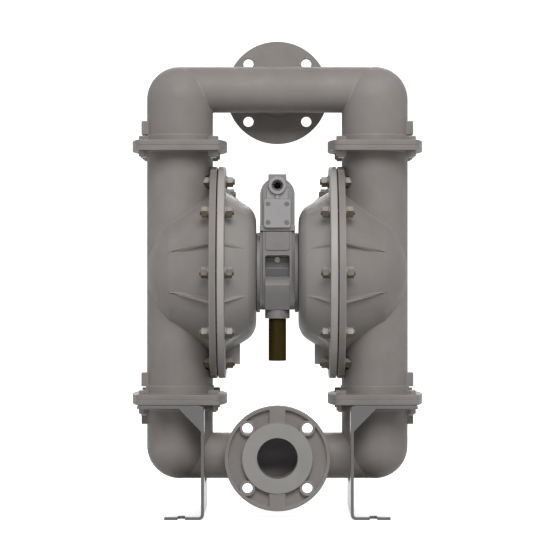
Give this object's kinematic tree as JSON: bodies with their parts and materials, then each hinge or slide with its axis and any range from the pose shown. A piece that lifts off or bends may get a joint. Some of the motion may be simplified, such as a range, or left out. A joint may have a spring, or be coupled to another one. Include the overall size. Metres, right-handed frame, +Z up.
{
  "type": "air operated diaphragm pump",
  "caption": "Flanged double diaphragm pump driven by compressed air: round liquid columns, ribbed chambers, ball check valves, top and bottom manifolds and bent foot brackets.",
  "frame": {"origin": "on the floor under the middle of the pump, midway between the columns and on the shaft's upright plane", "axes": "+Z up along the columns, X along the diaphragm shaft, -Y the side of the suction flange and the air inlet"},
  "size_m": [0.53, 0.3876, 0.8739],
  "materials": {
    "casting": "satin grey casting",
    "cover": "smooth satin",
    "bracket": "satin grey paint",
    "plated_steel": "zinc plated",
    "shaft_steel": "ground",
    "plate_metal": "cast",
    "diaphragm_rubber": "matte",
    "ball_rubber": "matte",
    "seat_plastic": "matte",
    "gasket": "matte",
    "bearing_bronze": "turned",
    "valve_plastic": "matte",
    "sleeve_metal": "hard anodised",
    "muffler_bronze": "dark sintered bronze"
  },
  "bodies": {
    "housing": {"discharge_manifold": "casting", "inlet_manifold": "casting", "center_block": "casting", "valve_housing": "casting", "left_liquid_chamber": "casting", "left_air_chamber": "casting", "right_liquid_chamber": "casting", "right_air_chamber": "casting", "front_valve_cover": "cover", "rear_valve_cover": "cover", "left_foot_bracket": "bracket", "right_foot_bracket": "bracket", "discharge_joint_bolts": "plated_steel", "discharge_joint_nuts": "plated_steel", "inlet_joint_bolts": "plated_steel", "inlet_joint_nuts": "plated_steel", "air_chamber_screws": "plated_steel", "valve_cover_screws": "plated_steel", "valve_mounting_screws": "plated_steel", "window_plug": "plated_steel", "left_chamber_studs": "plated_steel", "left_chamber_washers": "plated_steel", "left_chamber_nuts": "plated_steel", "right_chamber_studs": "plated_steel", "right_chamber_washers": "plated_steel", "right_chamber_nuts": "plated_steel", "left_diaphragm": "diaphragm_rubber", "right_diaphragm": "diaphragm_rubber", "left_inlet_seat": "seat_plastic", "left_discharge_seat": "seat_plastic", "right_inlet_seat": "seat_plastic", "right_discharge_seat": "seat_plastic", "inlet_seat_gaskets": "gasket", "discharge_seat_gaskets": "gasket", "air_chamber_gaskets": "gasket", "valve_gasket": "gasket", "valve_cover_gaskets": "gasket", "shaft_seals": "gasket", "shaft_bushings": "bearing_bronze", "pilot_sleeve": "bearing_bronze", "muffler_fitting": "bearing_bronze", "valve_sleeve": "sleeve_metal", "muffler_sleeve": "muffler_bronze"},
    "shaft_assembly": {"diaphragm_shaft": "shaft_steel", "left_inner_plate": "plate_metal", "right_inner_plate": "plate_metal", "left_outer_plate": "plate_metal", "right_outer_plate": "plate_metal"},
    "pilot": {"pilot_rod": "shaft_steel"},
    "spool": {"valve_spool": "valve_plastic"},
    "left_inlet_check": {"left_inlet_ball": "ball_rubber"},
    "right_inlet_check": {"right_inlet_ball": "ball_rubber"},
    "left_discharge_check": {"left_discharge_ball": "ball_rubber"},
    "right_discharge_check": {"right_discharge_ball": "ball_rubber"}
  },
  "joints": [
    {"name": "shaft_slide", "type": "slide", "parent": "housing", "child": "shaft_assembly", "axis": [1, 0, 0], "range_m": [-0.038, 0.038], "deforming": ["left_diaphragm", "right_diaphragm"]},
    {"name": "pilot_slide", "type": "slide", "parent": "housing", "child": "pilot", "axis": [1, 0, 0], "range_m": [-0.006, 0.006]},
    {"name": "spool_slide", "type": "slide", "parent": "housing", "child": "spool", "axis": [0, 1, 0], "range_m": [0, 0.014]},
    {"name": "left_inlet_ball_lift", "type": "slide", "parent": "housing", "child": "left_inlet_check", "axis": [0, 0, 1], "range_m": [0, 0.02]},
    {"name": "left_discharge_ball_lift", "type": "slide", "parent": "housing", "child": "left_discharge_check", "axis": [0, 0, 1], "range_m": [0, 0.02]},
    {"name": "right_inlet_ball_lift", "type": "slide", "parent": "housing", "child": "right_inlet_check", "axis": [0, 0, 1], "range_m": [0, 0.02]},
    {"name": "right_discharge_ball_lift", "type": "slide", "parent": "housing", "child": "right_discharge_check", "axis": [0, 0, 1], "range_m": [0, 0.02]}
  ],
  "couplings": [
    {"joint": "pilot_slide", "follows": "shaft_slide", "ratio": 0.1578}
  ]
}
